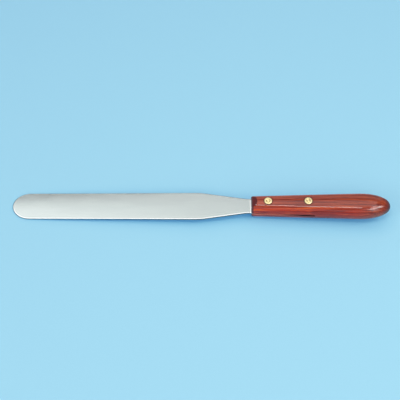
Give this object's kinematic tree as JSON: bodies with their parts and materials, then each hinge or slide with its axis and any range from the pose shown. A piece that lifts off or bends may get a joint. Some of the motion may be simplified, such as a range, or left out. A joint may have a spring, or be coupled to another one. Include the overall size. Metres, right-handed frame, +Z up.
{
  "type": "palette knife",
  "caption": "Palette knife: a long, flexible, round-tipped steel blade with narrowing shoulders, its tang pinned with brass rivets in a slotted rosewood handle.",
  "frame": {"origin": "under the middle of the knife's length and width, level with the undersides of the lower burrs", "axes": "+X from the blade's tip to the handle's butt, +Y across the blade, +Z up through the blade's thickness"},
  "size_m": [0.317, 0.0264, 0.0177],
  "materials": {
    "blade_steel": "satin, finely ground across the blade",
    "rosewood": "varnished, close grain along the handle",
    "brass": "polished, peened and filed"
  },
  "bodies": {
    "root": {"blade": "blade_steel", "handle": "rosewood", "front_rivet_pin": "brass", "rear_rivet_pin": "brass", "front_top_burr": "brass", "front_bottom_burr": "brass", "rear_top_burr": "brass", "rear_bottom_burr": "brass"}
  },
  "joints": []
}
